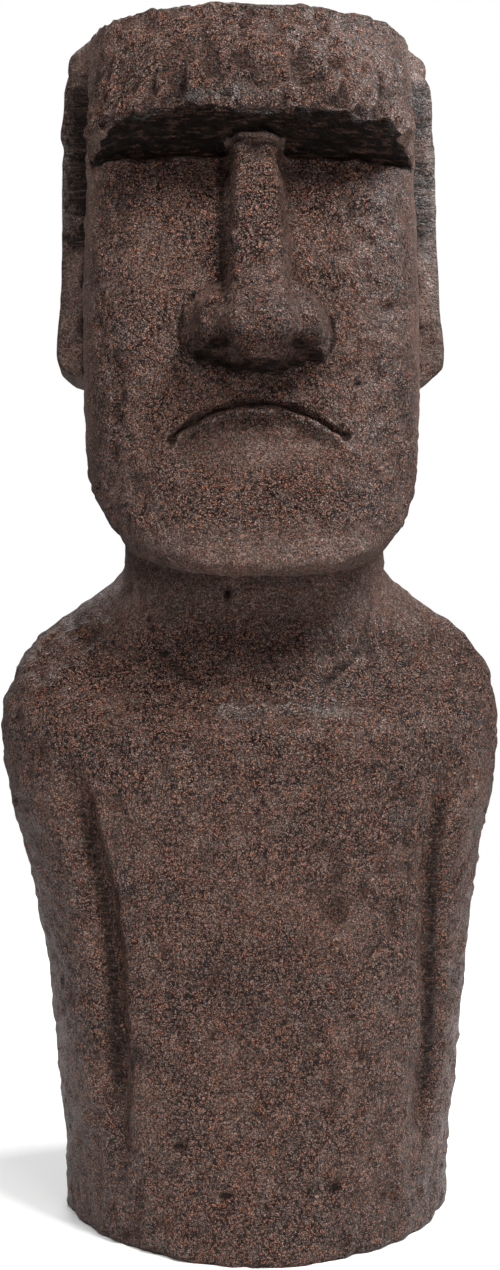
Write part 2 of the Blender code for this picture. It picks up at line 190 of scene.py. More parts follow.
# The front of the figure on its middle line, without the nose and mouth
FRONTS = (
    (FOOT, 0.500 * BASE_DEPTH),
    (FOOT + 0.12, 0.482 * BASE_DEPTH),
    (FOOT + 0.24, 0.470 * BASE_DEPTH),
    (FOOT + 0.70, 1.055 * CHEST_REACH),
    (SHOULDER, CHEST_REACH),
    (SHOULDER + 0.35, 0.915 * CHEST_REACH),
    (SHOULDER + 0.50, 0.845 * CHEST_REACH),
    (SHOULDER + 0.70, 1.215 * NECK_REACH),
    (SHOULDER + 0.80, 1.115 * NECK_REACH),
    (SHOULDER + 0.90, 1.030 * NECK_REACH),
    (JAW - 0.02, NECK_REACH),
    (JAW + 0.02, 0.860 * CHIN_REACH),
    (JAW + 0.08, 0.950 * CHIN_REACH),
    (JAW + 0.20, CHIN_REACH),
    (JAW + 0.36, 0.965 * CHIN_REACH),
    (JAW + 0.60, 0.860 * CHIN_REACH),
    (JAW + 0.82, 1.070 * MOUTH_REACH),
    (MOUTH + 0.10, 1.015 * MOUTH_REACH),
    (NOSE_FOOT, MOUTH_REACH),
    (NOSE_FOOT + 0.30, 0.970 * MOUTH_REACH),
    (EYE - 0.03, 1.020 * EYE_REACH),
    (EYE + 0.01, 0.960 * EYE_REACH),
    (EYE + 0.20, 1.060 * EYE_REACH),
    (BROW - 0.10, 0.970 * BROW_REACH),
    (BROW + 0.01, 1.005 * BROW_REACH),
    (BROW + 0.05, BROW_REACH),
    (BROW + 0.45, 0.915 * BROW_REACH),
    (CROWN, CROWN_REACH),
)

BACKS = (
    (FOOT, 0.500 * BASE_DEPTH),
    (FOOT + 0.40, 0.470 * BASE_DEPTH),
    (FOOT + 0.75, 1.050 * SHOULDER_BACK),
    (SHOULDER, SHOULDER_BACK),
    (SHOULDER + 0.55, 1.130 * NECK_BACK),
    (SHOULDER + 0.93, NECK_BACK),
    (JAW + 0.85, 0.960 * HEAD_BACK),
    (NOSE_FOOT + 0.25, HEAD_BACK),
    (EYE, 0.975 * HEAD_BACK),
    (BROW, 0.965 * HEAD_BACK),
    (CROWN, 0.850 * HEAD_BACK),
)

# How square the outline is: 2 is an ellipse, and more is squarer
FRONT_SQUARENESS = (
    (FOOT, 1.85),
    (FOOT + 0.10, 2.0),
    (FOOT + 0.50, 2.3),
    (SHOULDER, 2.3),
    (SHOULDER + 0.90, 2.4),
    (JAW + 0.10, 2.25),
    (MOUTH, 2.8),
    (EYE, 2.9),
    (BROW, 2.75),
    (CROWN, 2.0),
)
BACK_SQUARENESS = (
    (FOOT, 1.9),
    (FOOT + 0.15, 2.2),
    (FOOT + 0.70, 2.5),
    (SHOULDER, 2.6),
    (JAW, 2.2),
    (NOSE_FOOT, 2.7),
    (BROW, 2.6),
    (CROWN, 2.3),
)

# The slope of each outline in front of the origin, and behind it
FRONT_SLOPES = (
    (FOOT, 0.0),
    (FOOT + 0.70, 0.0),
    (SHOULDER, 0.14 * COLLAR_SLOPE),
    (SHOULDER + 0.35, 0.52 * COLLAR_SLOPE),
    (SHOULDER + 0.70, COLLAR_SLOPE),
    (JAW, JAW_SLOPE),
    (JAW + 0.25, JAW_SLOPE),
    (MOUTH, 0.0),
    (CROWN, 0.0),
)
BACK_SLOPES = (
    (FOOT, 0.0),
    (SHOULDER, 0.0),
    (SHOULDER + 0.80, 0.43 * JAW_SLOPE),
    (JAW, JAW_SLOPE),
    (JAW + 0.25, JAW_SLOPE),
    (NOSE_FOOT - 0.10, 0.0),
    (CROWN, 0.0),
)

# How far the middle of each outline stands to the figure's own right of the origin
LEANS = (
    (FOOT, 0.0),
    (FOOT + 0.50, 0.45 * LEAN),
    (SHOULDER, 0.76 * LEAN),
    (SHOULDER + 0.40, 0.18 * LEAN),
    (MOUTH, 0.64 * LEAN),
    (CROWN, LEAN),
)

# The line where each arm meets the body, as its distance from the middle of the figure
RIGHT_ARM_LINE = (
    (FOOT + 0.15, 0.263 * SHOULDER_WIDTH),
    (FOOT + 0.54, 0.278 * SHOULDER_WIDTH),
    (FOOT + 0.77, 0.313 * SHOULDER_WIDTH),
    (FOOT + 0.95, 0.351 * SHOULDER_WIDTH),
)
LEFT_ARM_LINE = (
    (FOOT + 0.15, 0.301 * SHOULDER_WIDTH),
    (FOOT + 0.40, 0.325 * SHOULDER_WIDTH),
    (FOOT + 0.70, 0.333 * SHOULDER_WIDTH),
    (FOOT + 0.90, 0.363 * SHOULDER_WIDTH),
)

# The mesh: how far apart its rows are along the front's profile, and the columns to each half outline
ROW_PITCHES = (
    (FOOT, 0.0031),
    (SHOULDER - 0.1, 0.0026),
    (SHOULDER, 0.0021),
    (SHOULDER + 0.15, 0.0023),
    (SHOULDER + 0.9, 0.0027),
    (JAW + 0.3, 0.0022),
    (MOUTH - 0.3, 0.0020),
    (MOUTH, 0.0014),
    (NOSE_FOOT, 0.0015),
    (NOSE_FOOT + 0.3, 0.0017),
    (EYE - 0.1, 0.0016),
    (EYE, 0.0015),
    (BROW, 0.0017),
    (CROWN, 0.0021),
)
PROFILE_SAMPLES = 4001
FRONT_COLUMNS = 78
BACK_COLUMNS = 24
OUTLINE_SAMPLES = 721
CROWN_RINGS = (0.985, 0.955, 0.91, 0.84, 0.75, 0.64, 0.50, 0.34, 0.16)
FOOT_RINGS = (0.96, 0.60, 0.25)

# Relief of the cast surface, as heights of its forms
SWELL_HEIGHT = 0.0010
LUMP_HEIGHT = 0.0013
CRUMB_HEIGHT = 0.0012
GOUGE_DEPTH = 0.0010
TOOLING_HEIGHT = 0.0038
LIP_LUMP_HEIGHT = 0.0042
LIP_DROP = 0.0040
LEDGE_HEIGHT = 0.0030
LEDGE_GROOVE_DEPTH = 0.0022
JAW_CRUMB_HEIGHT = 0.0018
NOTCH_DEPTH = 0.0046
CHEST_CRACK_DEPTH = 0.0024
PIT_DEPTH = 0.0032
PIT_CELL = 0.026
PIT_SEED = 12
RIM_CHIP_DEPTH = 0.0040
FOOT_LUMP_HEIGHT = 0.0014
EAR_STREAK_HEIGHT = 0.0008
NECK_STREAK_HEIGHT = 0.0010
CHEST_CREST_HEIGHT = 0.0030
CHEST_CREST_Z = 0.338
CHEST_CRACK_Z = 0.345
CHEST_CRACK_ENDS = (-0.018, 0.026)

# The material reads the relief in units of this height
RELIEF_UNIT = 0.002

# Holes and nicks: x, height, half width, half height and depth
HOLES = (
    (-0.022, 0.415, 0.0045, 0.0040, 0.0040),
    (-0.054, 0.070, 0.0065, 0.0040, 0.0030),
    (-0.025, 0.042, 0.0080, 0.0035, 0.0030),
    (0.043, 0.044, 0.0075, 0.0035, 0.0025),
    (0.0625, 0.551, 0.0040, 0.0040, 0.0020),
    (-0.0590, 0.5118, 0.0052, 0.0060, 0.0034),
    (0.0540, 0.5152, 0.0050, 0.0044, 0.0030),
)

# Patches with upright notches: x, height, half width, half height and strength
NOTCHED = (
    (-0.062, 0.733, 0.026, 0.032, 1.3),
    (-0.012, 0.725, 0.030, 0.012, 0.5),
    (0.064, 0.728, 0.016, 0.016, 0.7),
    (-0.092, 0.722, 0.012, 0.016, 0.6),
)

# Patches that are worn pale, some of them painted highlight: x, height, half width, half height and strength
PALE_PATCHES = (
    (-0.016, 0.730, 0.052, 0.015, 0.92),
    (-0.045, 0.729, 0.014, 0.008, 0.7),
    (0.046, 0.768, 0.020, 0.014, 0.6),
    (0.003, 0.650, 0.008, 0.034, 0.55),
    (0.030, 0.600, 0.020, 0.014, 0.35),
    # The next five are painted highlight over the chest and on the shoulder turned to the lamps.
    (-0.020, 0.334, 0.020, 0.020, 0.34),
    (0.050, 0.334, 0.036, 0.020, 0.34),
    (0.104, 0.393, 0.030, 0.022, 0.85),
    (0.015, 0.362, 0.105, 0.044, 0.60),
    (-0.030, 0.300, 0.070, 0.040, 0.45),
    (0.030, 0.575, 0.006, 0.005, 0.5),
    # The next four are painted highlight along the ledge under the brow.
    (-0.088, 0.6985, 0.006, 0.0028, 1.0),
    (-0.060, 0.6985, 0.009, 0.0026, 1.0),
    (0.018, 0.6985, 0.008, 0.0030, 1.0),
    (0.058, 0.6985, 0.010, 0.0028, 1.0),
    (-0.052, 0.596, 0.010, 0.016, 0.6),
    # The next two are worn pale and partly painted highlight, under the nose and along the chest's crest.
    (0.004, 0.5480, 0.030, 0.0070, 0.6),
    (0.0, 0.338, 0.110, 0.009, 0.5),
    (-0.068, 0.738, 0.016, 0.022, 0.5),
    (-0.060, 0.376, 0.010, 0.010, 0.6),
    (0.066, 0.374, 0.012, 0.012, 0.6),
)

# Sizes of the material's grain
WANDER_SIZE = 0.0022
WANDER_DISTANCE = 0.0014
BLOTCH_SIZE = 0.042
PATCH_SIZE = 0.012
FLOW_SIZE = 0.0095
GAP_SIZE = 0.0040
CLUMP_SIZE = 0.0027
STREAK_SIZE = 0.0026
CREST_SIZE = 0.0015
STRAND_SIZE = 0.0011
GRIT_SIZE = 0.0009
FINE_SIZE = 0.0008
BUMP_HEIGHT = 0.0042

# Colours
DARK_GRIT = (0.048, 0.022, 0.014, 1.0)
LIGHT_GRIT = (0.295, 0.182, 0.142, 1.0)
GREY_BROWN = (0.130, 0.105, 0.096, 1.0)
DEEP_BROWN = (0.060, 0.034, 0.026, 1.0)
SHADED_BROWN = (0.050, 0.034, 0.028, 1.0)
# Pale brown of the crests: their own brushed colour, made paler as painted highlight
CREST_AND_HIGHLIGHT_BROWN = (0.450, 0.350, 0.304, 1.0)
WORN_BROWN = (0.300, 0.235, 0.210, 1.0)
RUST = (0.560, 0.170, 0.070, 1.0)
# Grey specks: grey grit, and painted glints in place of the crumb's gloss
GREY_GRIT_AND_GLINT = (0.560, 0.510, 0.490, 1.0)
# Grey of worn chips and of painted highlight
CHIP_AND_HIGHLIGHT_GREY = (0.470, 0.405, 0.368, 1.0)
# Black of the painted shade in the crumb's gaps
GAP_SHADE_BLACK = (0.005, 0.0035, 0.003, 1.0)
# Colours that darken the crumb, mostly as painted shade in recesses and creases and as the chin's shadow:
# near black, with brown streaks
DARKENING_BLACK = (0.010, 0.006, 0.0045, 1.0)
DARKENING_BROWN = (0.085, 0.046, 0.032, 1.0)
FLOOR_COLOUR = (0.86, 0.86, 0.86, 1.0)
WHITE = (1.0, 1.0, 1.0, 1.0)

# Camera: level, a little to the figure's right, as far off as the curves of the rims say
CAMERA_DISTANCE = 1.07
CAMERA_HEIGHT = 0.387
CAMERA_TURN_DEG = 3.0
CAMERA_SIDESTEP = 0.0045
CAMERA_FOCAL_PIXELS = 1537
PHOTO_HEIGHT_PIXELS = 1270

# Stage
FLOOR_RADIUS = 4.0
FLOOR_FADE_START = 0.5
FLOOR_FADE_END = 1.6
WORLD_STRENGTH = 0.15
LAMP_DISTANCE = 1.9
LAMP_SIZE = 0.50
LAMP_TARGET_HEIGHT = 0.42

# Softboxes: name, degrees round to the figure's left, degrees up, watts
SOFTBOXES = (
    ("high_right", 35, 55, 54.0),
    ("high_left", -35, 55, 22.0),
    ("side_right", 105, 48, 34.0),
    ("low_front", 22, 8, 12.0),
    ("behind", 190, 40, 20.0),
)


def smooth_step(start, end, value):
    t = np.clip((value - start) / (end - start), 0.0, 1.0)
    return t * t * (3.0 - 2.0 * t)


def bell(distance, half_width):
    return np.exp(-((distance / half_width) ** 2))


def window(start, end, soft, value):
    """1 between start and end, and 0 beyond them, with edges that are soft wide."""
    return smooth_step(start - soft / 2, start + soft / 2, value) * (
        1.0 - smooth_step(end - soft / 2, end + soft / 2, value)
    )


def blended(*heights):
    """The highest of several forms, with a fillet where they cross."""
    power = 3.0
    return sum(np.clip(h, 0.0, None) ** power for h in heights) ** (1.0 / power)


def curve_through(stations, at):
    """A smooth curve through (place, value) stations that never overshoots them, read at the given places."""
    place, value = np.array(stations, float).T
    gap = np.diff(place)
    rise = np.diff(value) / gap
    product = rise[:-1] * rise[1:]
    turning = product <= 0
    slope = np.zeros_like(value)
    slope[1:-1] = np.where(turning, 0.0, 2 * product / np.where(turning, 1.0, rise[:-1] + rise[1:]))
    slope[0], slope[-1] = rise[0], rise[-1]
    at = np.clip(np.asarray(at, float), place[0], place[-1])
    k = np.clip(np.searchsorted(place, at, side="right") - 1, 0, len(gap) - 1)
    t = (at - place[k]) / gap[k]
    return (
        value[k] * (1 + 2 * t) * (1 - t) ** 2
        + slope[k] * gap[k] * t * (1 - t) ** 2
        + value[k + 1] * t * t * (3 - 2 * t)
        + slope[k + 1] * gap[k] * t * t * (t - 1)
    )


def height_of(place):
    return np.interp(place, np.arange(len(LANDMARK_HEIGHTS)), LANDMARK_HEIGHTS)


def place_at(height):
    return np.interp(height, LANDMARK_HEIGHTS, np.arange(len(LANDMARK_HEIGHTS)))


def profile(stations, place):
    """A curve through (place, value) stations that is smooth over the real height."""
    return curve_through([(height_of(at), value) for at, value in stations], height_of(place))


def edge_inset(z):
    """How far the rounded edges of the foot and the crown stand in from the sides."""
    below = np.clip(FOOT_EDGE_RADIUS - z, 0.0, FOOT_EDGE_RADIUS)
    above = np.clip(CROWN_EDGE_RADIUS - (LANDMARK_HEIGHTS[-1] - z), 0.0, CROWN_EDGE_RADIUS)
    foot = FOOT_EDGE_RADIUS - np.sqrt(FOOT_EDGE_RADIUS**2 - below**2)
    crown = CROWN_EDGE_RADIUS - np.sqrt(CROWN_EDGE_RADIUS**2 - above**2)
    return foot + crown


def crowding(x, place):
    """How much closer the front columns stand over the nose, mouth and arm lines."""
    on_head = smooth_step(JAW - 0.1, JAW + 0.3, place) * (1.0 - smooth_step(EYE + 0.1, BROW, place))
    face = 1.0 - smooth_step(0.5 * NOSTRILS_WIDTH, 0.8 * NOSTRILS_WIDTH, x)
    on_body = 1.0 - smooth_step(SHOULDER, SHOULDER + 0.5, place)
    arm = bell(x - 0.316 * SHOULDER_WIDTH, 1.8 * ARM_GROOVE_WIDTH) * on_body
    return 1.0 + 1.1 * face * on_head + 1.0 * arm


def column_reaches():
    """The reaches of the columns on the figure's side, crowded at the ear's front and back edges."""
    front = EAR_CENTRE_REACH + EAR_DEPTH / 2
    back = EAR_CENTRE_REACH - EAR_DEPTH / 2
    beside_edge = EAR_EDGE * np.array([1.0, 0.7, 0.45, 0.2, 0.0, -1.4])
    in_groove = EAR_CENTRE_REACH + EAR_DEPTH * np.array([0.18, -0.18])
    return np.concatenate([front + beside_edge, in_groove, back - beside_edge[::-1]])


def half_outline(place):
    """Distances from the middle plane and reaches of half an outline, from the front to the back."""
    angle = np.linspace(0.0, np.pi, OUTLINE_SAMPLES)
    inset = edge_inset(height_of(place))
    in_front = angle <= np.pi / 2
    half_width = profile(HALF_WIDTHS, place) - inset
    depth = np.where(in_front, profile(FRONTS, place), profile(BACKS, place)) - inset
    square = np.where(in_front, profile(FRONT_SQUARENESS, place), profile(BACK_SQUARENESS, place))
    x = half_width * np.abs(np.sin(angle)) ** (2 / square)
    x[-1] = 0.0
    reach = depth * np.sign(np.cos(angle)) * np.abs(np.cos(angle)) ** (2 / square)
    crowd = crowding(x, place) * (reach > 0) + (reach <= 0)
    step = np.hypot(np.diff(x), np.diff(reach)) * (crowd[1:] + crowd[:-1]) / 2
    run = np.concatenate([[0.0], np.cumsum(step)])
    side_runs = np.interp(-column_reaches(), -reach, run)
    runs = np.concatenate([
        np.linspace(0.0, side_runs[0], FRONT_COLUMNS + 1),
        side_runs[1:],
        np.linspace(side_runs[-1], run[-1], BACK_COLUMNS + 1)[1:],
    ])
    return np.interp(runs, run, x), np.interp(runs, run, reach)


def wing_half_width(up):
    """Half the nose's width over its wings, at a share of the nose's height."""
    return curve_through(
        (
            (0.01, 0.39 * NOSTRILS_WIDTH),
            (0.05, 0.455 * NOSTRILS_WIDTH),
            (0.15, 0.510 * NOSTRILS_WIDTH),
            (0.26, 0.480 * NOSTRILS_WIDTH),
            (0.34, 0.385 * NOSTRILS_WIDTH),
            (0.44, 0.26 * NOSTRILS_WIDTH),
        ),
        up,
    )


def nostril_share(x, z):
    """1 along the arch of a nostril, and 0 beside it."""
    from_middle = x - 0.27 * NOSTRILS_WIDTH
    arch_z = height_of(NOSE_FOOT) + NOSTRIL_RISE - NOSTRIL_CURVE * from_middle**2
    return bell(z - arch_z, NOSTRIL_HEIGHT / 2) * bell(from_middle, NOSTRIL_WIDTH / 2)


def nose(x, z):
    """The height of the nose above the face: a ridge with a round tip, over a lower pair of wings."""
    up = (z - height_of(NOSE_FOOT)) / NOSE_HEIGHT
    ridge_reach = curve_through(
        (
            (-0.045, 0.0),
            (-0.02, 0.52 * NOSE_REACH),
            (0.02, 0.84 * NOSE_REACH),
            (0.10, NOSE_REACH),
            (0.20, 0.92 * NOSE_REACH),
            (0.45, 1.10 * BRIDGE_REACH),
            (0.75, BRIDGE_REACH),
            (1.00, 1.10 * BRIDGE_REACH),
            (1.10, 1.20 * BRIDGE_REACH),
        ),
        up,
    )
    ridge_half_width = curve_through(
        (
            (-0.045, 0.26 * BRIDGE_WIDTH),
            (-0.005, 0.50 * BRIDGE_WIDTH),
            (0.05, 0.76 * BRIDGE_WIDTH),
            (0.12, 0.86 * BRIDGE_WIDTH),
            (0.25, 0.72 * BRIDGE_WIDTH),
            (0.45, 0.64 * BRIDGE_WIDTH),
            (0.70, 0.60 * BRIDGE_WIDTH),
            (0.92, 0.52 * BRIDGE_WIDTH),
            (1.05, 0.53 * BRIDGE_WIDTH),
        ),
        up,
    )
    wing_reach = curve_through(
        (
            (0.03, 0.0),
            (0.07, 0.66 * WING_REACH),
            (0.15, WING_REACH),
            (0.24, 0.86 * WING_REACH),
            (0.36, 0.30 * WING_REACH),
            (0.44, 0.0),
        ),
        up,
    )
    across = x / ridge_half_width
    crowned = ridge_reach * (1.0 - 0.16 * np.minimum(across, 1.0) ** 2)
    ridge = crowned * (1.0 - smooth_step(0.55, 1.10, across))
    wing_edge = wing_half_width(up)
    wing = wing_reach * (1.0 - smooth_step(0.70, 1.0, x / wing_edge))
    rim = NOSE_GROOVE_DEPTH * bell(x - 1.03 * wing_edge, 0.0028) * window(0.02, 0.34, 0.08, up)
    nostril = NOSTRIL_DEPTH * nostril_share(x, z)
    return blended(ridge, wing) - nostril - rim


def mouth_line(x):
    """The height of the mouth's crease, an arch with its corners low."""
    return height_of(MOUTH) + MOUTH_RISE * (0.35 - (2 * x / MOUTH_WIDTH) ** 2)


def mouth(x, z):
    within = 1.0 - smooth_step(0.465 * MOUTH_WIDTH, 0.525 * MOUTH_WIDTH, x)
    below = mouth_line(x) - z
    crease = CREASE_DEPTH * bell(below, CREASE_WIDTH / 2) * within
    lip = LIP_REACH * window(0.4 * CREASE_WIDTH, LIP_HEIGHT, LIP_HEIGHT / 3, below) * within
    muzzle_height = np.where(below < 0, 1.4, 0.6) * MOUTH_RISE
    muzzle = MUZZLE_REACH * bell(x, 0.55 * MOUTH_WIDTH) * bell(below, muzzle_height)
    return muzzle + lip - crease


def ear_foot():
    return height_of(CROWN) - EAR_DROP - EAR_HEIGHT


def ear_taper(up):
    return curve_through(((0.0, 1.0), (0.5, 0.88), (0.9, 0.78), (1.0, 0.60)), up)


def ear_share(reach, z):
    """1 on the ear's slab and 0 off it."""
    up = (z - ear_foot()) / EAR_HEIGHT
    off_slab = np.maximum(np.abs(reach - EAR_CENTRE_REACH) - EAR_DEPTH / 2 * ear_taper(up), 0.0)
    return bell(off_slab, EAR_EDGE / 2) * window(0.0, 1.0, 0.012, up)


def ear_half_span(z):
    up = (z - ear_foot()) / EAR_HEIGHT
    return curve_through(
        (
            (0.0, 0.450 * EAR_SPAN),
            (0.045, 0.495 * EAR_SPAN),
            (0.08, 0.500 * EAR_SPAN),
            (0.28, 0.490 * EAR_SPAN),
            (0.65, 0.508 * EAR_TOP_SPAN),
            (0.88, 0.502 * EAR_TOP_SPAN),
            (0.96, 0.487 * EAR_TOP_SPAN),
            (1.0, 0.460 * EAR_TOP_SPAN),
        ),
        up,
    )


def ear_groove(reach, z):
    up = (z - ear_foot()) / EAR_HEIGHT
    return EAR_GROOVE_DEPTH * bell(reach - EAR_CENTRE_REACH, 0.28 * EAR_DEPTH) * window(0.16, 0.92, 0.08, up)


def ear_crease(reach, z):
    """1 along the crease in front of the ear, and 0 beside it."""
    up = (z - ear_foot()) / EAR_HEIGHT
    front = EAR_CENTRE_REACH + EAR_DEPTH / 2 * ear_taper(up) + 0.9 * EAR_EDGE
    return bell(reach - front, EAR_CREASE_WIDTH / 2) * window(0.01, 0.90, 0.05, up)


def arm_relief(x, reach, place, line):
    """The groove between the arm and the body and the swell of the arm beside it."""
    line_x = profile(line, place)
    along = window(FOOT + 0.20, SHOULDER - 0.09, 0.16, place) * smooth_step(-FACE_FADE, FACE_FADE, reach)
    groove = ARM_GROOVE_DEPTH * bell(x - line_x, ARM_GROOVE_WIDTH / 2)
    swell = ARM_SWELL * bell(x - line_x - 1.5 * ARM_GROOVE_WIDTH, 1.3 * ARM_GROOVE_WIDTH)
    return (swell - groove) * along


def carved(x, reach, place, arm_line):
    """Half of the loft, carved. x is the distance from the middle plane, and so is never below 0."""
    fall = np.where(reach > 0, profile(FRONT_SLOPES, place), profile(BACK_SLOPES, place))
    z = height_of(place) - fall * reach
    in_front = smooth_step(0.0, FACE_FADE, reach)
    beside_mouth = smooth_step(0.45 * MOUTH_WIDTH, 0.80 * MOUTH_WIDTH, x)
    near_mouth = (1.0 - beside_mouth) * in_front * window(MOUTH - 0.35, NOSE_FOOT - 0.22, 0.5, place)
    shift = near_mouth * (mouth_line(x) - height_of(MOUTH))
    z = z + shift
    reach = reach * profile(FRONTS, place_at(height_of(place) + shift)) / profile(FRONTS, place)
    on_face = in_front * smooth_step(JAW + 0.15, JAW + 0.45, place)
    under_brow = np.maximum(profile(FRONTS, place) - EYE_REACH, 0.0) * smooth_step(EYE - 0.1, EYE, place)
    nose_reach = nose(x, z)
    nose_reach = np.where(nose_reach > 0, np.maximum(nose_reach - under_brow, 0.0), nose_reach)
    nose_reach = nose_reach * (1.0 - smooth_step(NOSE_TOP_Z, NOSE_TOP_Z + 0.004, z))
    reach = reach + on_face * (nose_reach + mouth(x, z))
    on_ear = ear_share(reach, z) * smooth_step(0.22 * JAW_WIDTH, 0.30 * JAW_WIDTH, x)
    off_ear = (1.0 - on_ear) * smooth_step(0.3 * JAW_WIDTH, 0.4 * JAW_WIDTH, x)
    x = x - EAR_CREASE_DEPTH * ear_crease(reach, z) * off_ear
    x = x + on_ear * (ear_half_span(z) - ear_groove(reach, z) - x)
    length = np.hypot(x, reach)
    relief = arm_relief(x, reach, place, arm_line)
    x, reach = x * (1 + relief / length), reach * (1 + relief / length)
    spine = bell(x, SPINE_WIDTH / 2) * window(FOOT + 0.35, SHOULDER + 0.70, 0.40, place) * (reach < 0)
    return x, reach + SPINE_DEPTH * spine, z


def row_places():
    """The place of each row of the sides, ROW_PITCHES apart along the front's profile."""
    places = np.linspace(FOOT, CROWN, PROFILE_SAMPLES)
    step = np.hypot(np.diff(profile(FRONTS, places)), np.diff(height_of(places)))
    middle = (places[1:] + places[:-1]) / 2
    run = np.concatenate([[0.0], np.cumsum(step / np.interp(middle, *np.transpose(ROW_PITCHES)))])
    return np.interp(np.linspace(0.0, run[-1], round(run[-1]) + 1), run, places)


def lattice(corner, seed):
    """A repeatable value from -1 to 1 for each corner of a grid."""
    mixed = corner @ np.array([73856093, 19349663, 83492791]) + seed * 40503
    mixed = ((mixed ^ (mixed >> 13)) * 1274126177) & 0xFFFFFFFF
    mixed = ((mixed ^ (mixed >> 16)) * 60493) & 0xFFFFFF
    return mixed / 0x7FFFFF - 1.0


def noise(points, cell, seed=0):
    """Smooth noise from -1 to 1 with lumps of the size of cell, one size or one for each axis."""
    at = points / np.asarray(cell)
    corner = np.floor(at).astype(np.int64)
    t = at - corner
    t = t * t * (3.0 - 2.0 * t)
    total = 0.0
    for step in np.ndindex(2, 2, 2):
        share = np.prod(np.where(step, t, 1.0 - t), axis=-1)
        total = total + share * lattice(corner + np.array(step), seed)
    return total


def ridges(points, cell, seed=0):
    """Noise of sharp crests, from 0 to 1."""
    return (1.0 - np.abs(noise(points, cell, seed))) ** 2


def pits(points, cell, seed):
    """1 in the middle of round pits that are scattered one to a cell, and 0 between them."""
    corner = np.floor(points / cell).astype(np.int64)
    deepest = np.zeros(points.shape[:-1])
    for step in np.ndindex(3, 3, 3):
        near = corner + np.array(step) - 1
        centre = np.stack([lattice(near, seed + axis) for axis in range(3)], axis=-1)
        size = 0.5 + 0.5 * lattice(near, seed + 3)
        away = np.linalg.norm(points / cell - near - 0.5 - 0.4 * centre, axis=-1)
        deepest = np.maximum(deepest, size * (1.0 - smooth_step(0.02, 0.10 + 0.12 * size, away)))
    return deepest


def spot(points, x, z, half_width, half_height):
    """1 in the middle of an oval on the front, and 0 beyond it."""
    away = np.hypot((points[..., 0] - x) / half_width, (points[..., 2] - z) / half_height)
    return (1.0 - smooth_step(0.2, 1.0, away)) * (points[..., 1] < 0)


def spots(points, table):
    """The sum of a table's ovals, each at its own strength."""
    return sum(strength * spot(points, *oval) for *oval, strength in table)


def loft_points():
    """The figure's surface as an array of rows by columns by (x, y, z), each row a closed ring."""
    places = row_places()
    outlines = [half_outline(place) for place in places]
    x = np.array([outline[0] for outline in outlines])
    reach = np.array([outline[1] for outline in outlines])
    place = np.repeat(places[:, None], x.shape[1], axis=1)
    lean = profile(LEANS, place)
    halves = []
    for side, arm_line in ((1, LEFT_ARM_LINE), (-1, RIGHT_ARM_LINE)):
        out_x, out_reach, z = carved(x, reach, place, arm_line)
        halves.append(np.stack([side * out_x - lean, -out_reach, z], axis=2))
    left, right = halves
    return np.concatenate([left, right[:, -2:0:-1]], axis=1)


def with_crown(rows):
    """The rows, and the rings of the crown above them."""
    edge = rows[-1]
    centre = edge.mean(axis=0)
    rings = []
    for share in CROWN_RINGS:
        ring = centre + (edge - centre) * share
        ring[:, 2] += CROWN_RISE * (1.0 - share**2)
        rings.append(ring)
    return np.concatenate([rows, np.array(rings)])


def fitted(points):
    """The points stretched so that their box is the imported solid's."""
    low, high = points.min(axis=(0, 1)), points.max(axis=(0, 1))
    return CAD_LOW + (points - low) * (CAD_HIGH - CAD_LOW) / (high - low)


def grid_normals(points):
    along = np.roll(points, -1, axis=1) - np.roll(points, 1, axis=1)
    up = np.gradient(points, axis=0)
    normal = np.cross(along, up)
    return normal / np.maximum(np.linalg.norm(normal, axis=2, keepdims=True), 1e-12)


def forehead_share(points):
    z = points[..., 2]
    return smooth_step(height_of(BROW) - 0.004, height_of(BROW) + 0.006, z) * (
        1.0 - smooth_step(height_of(CROWN) - 0.030, height_of(CROWN), z)
    )


def notch_share(points):
    """1 along the upright notches of the brow, and 0 beside them."""
    return spots(points, NOTCHED) * ridges(points, (0.0085, 0.03, 0.05), 19) ** 4


def even_relief(points):
    """The relief that is all over the figure: swells, lumps, crumb, gouges and pits."""
    swell = SWELL_HEIGHT * (noise(points, 0.045, 1) + 0.6 * noise(points, 0.020, 2))
    lumps = LUMP_HEIGHT * noise(points, 0.0090, 3) + CRUMB_HEIGHT * noise(points, 0.0048, 4)
    gouges = GOUGE_DEPTH * ridges(points, (0.017, 0.017, 0.026), 17) ** 4
    return swell + lumps - gouges - PIT_DEPTH * pits(points, PIT_CELL, PIT_SEED)


def brow_relief(points, reach, front):
    """The forehead's tooling and notches, and the brow's ragged lip with the ledge under it."""
    z = points[..., 2]
    low_half = 1.0 - smooth_step(height_of(BROW) + 0.010, height_of(CROWN) - 0.02, z)
    streaks = ridges(points, (0.0065, 0.0065, 0.034), 5) + 0.8 * ridges(points, (0.012, 0.012, 0.050), 6)
    cuts = 0.7 * ridges(points, (0.011, 0.011, 0.045), 18) ** 6
    tooled = forehead_share(points) * front * (0.35 + 0.65 * low_half)
    tooling = TOOLING_HEIGHT * tooled * (streaks - 0.9 - cuts)
    lip = bell(z - height_of(BROW) - 0.004, 0.008) * front
    broken = noise(points, (0.008, 0.03, 0.010), 7) - 0.4 * ridges(points, (0.006, 0.03, 0.03), 22) ** 4
    ragged = noise(points, (0.009, 0.03, 0.004), 8)
    from_ledge = z - height_of(EYE) + 0.0030 - 0.0010 * ragged
    ledge = LEDGE_HEIGHT * bell(from_ledge, 0.0024) * (0.55 + ragged)
    ledge = ledge - LEDGE_GROOVE_DEPTH * bell(from_ledge - 0.0050, 0.0022)
    ledge = ledge * smooth_step(0.015, 0.035, reach)
    return tooling + LIP_LUMP_HEIGHT * lip * broken + ledge - NOTCH_DEPTH * notch_share(points)


